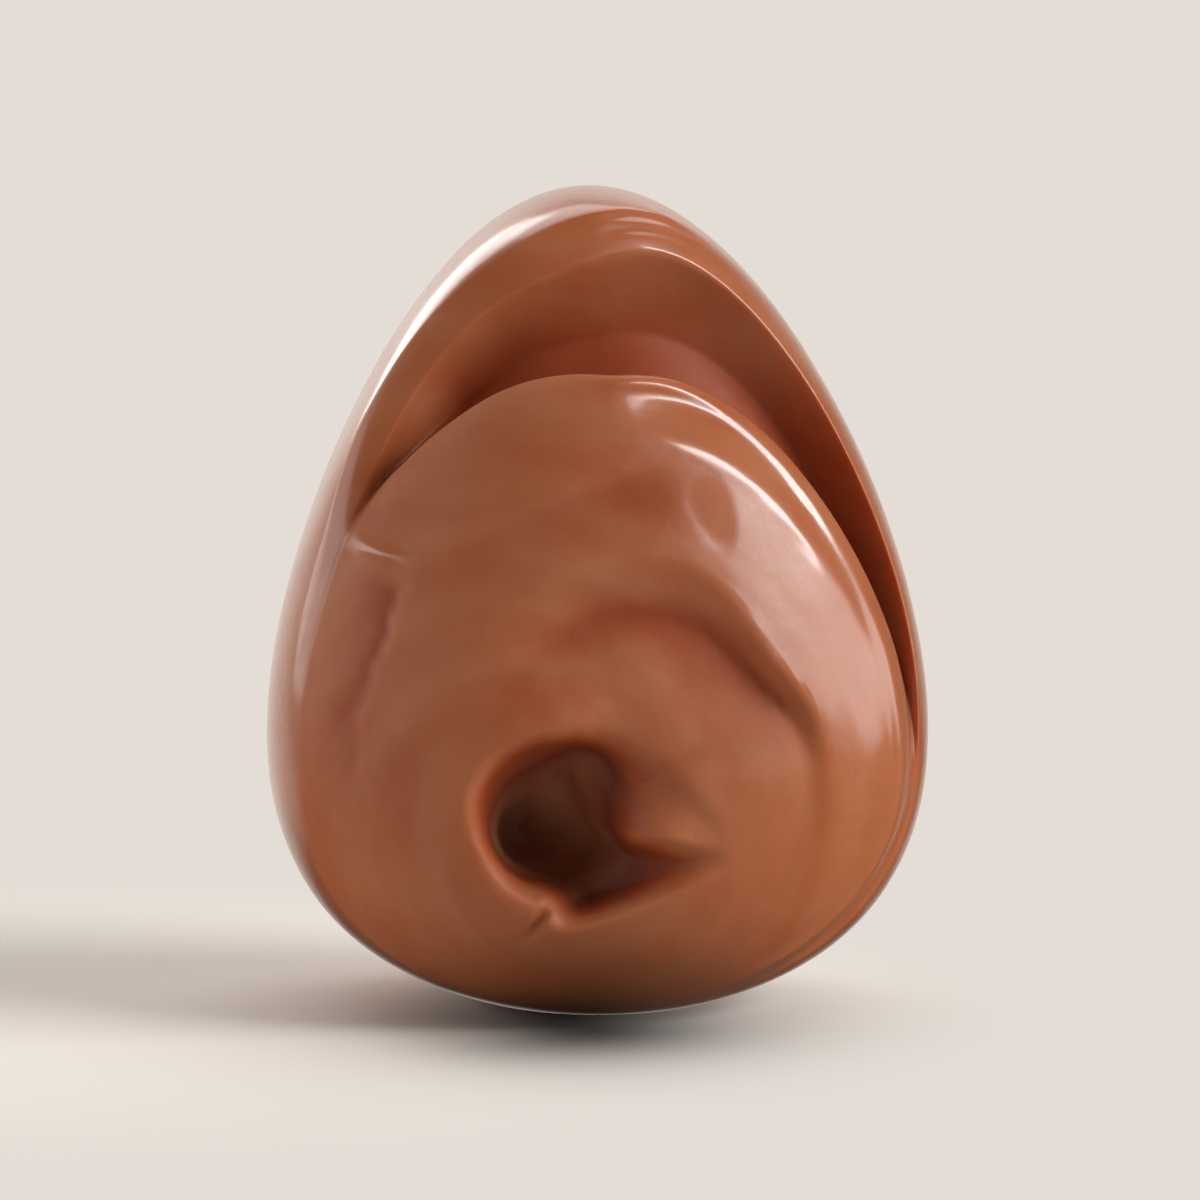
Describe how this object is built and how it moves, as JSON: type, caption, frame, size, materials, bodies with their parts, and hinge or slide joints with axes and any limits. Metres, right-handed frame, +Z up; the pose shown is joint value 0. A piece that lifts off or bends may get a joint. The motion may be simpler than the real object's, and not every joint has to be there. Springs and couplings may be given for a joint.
{
  "type": "chocolate praline",
  "caption": "Egg-shaped milk chocolate praline on its broad end, a hood curling over a crescent trough above a swirled dome with a deep eye.",
  "frame": {"origin": "on the surface that the praline stands on, below the middle of its bounding box", "axes": "+Z up to the tip, -Y towards the swirled front, +X to the right as seen from the front"},
  "size_m": [0.0276, 0.0248, 0.034],
  "materials": {
    "milk_chocolate": "tempered milk chocolate, satin with soft gloss on the folds"
  },
  "bodies": {
    "root": {"praline": "milk_chocolate"}
  },
  "joints": []
}
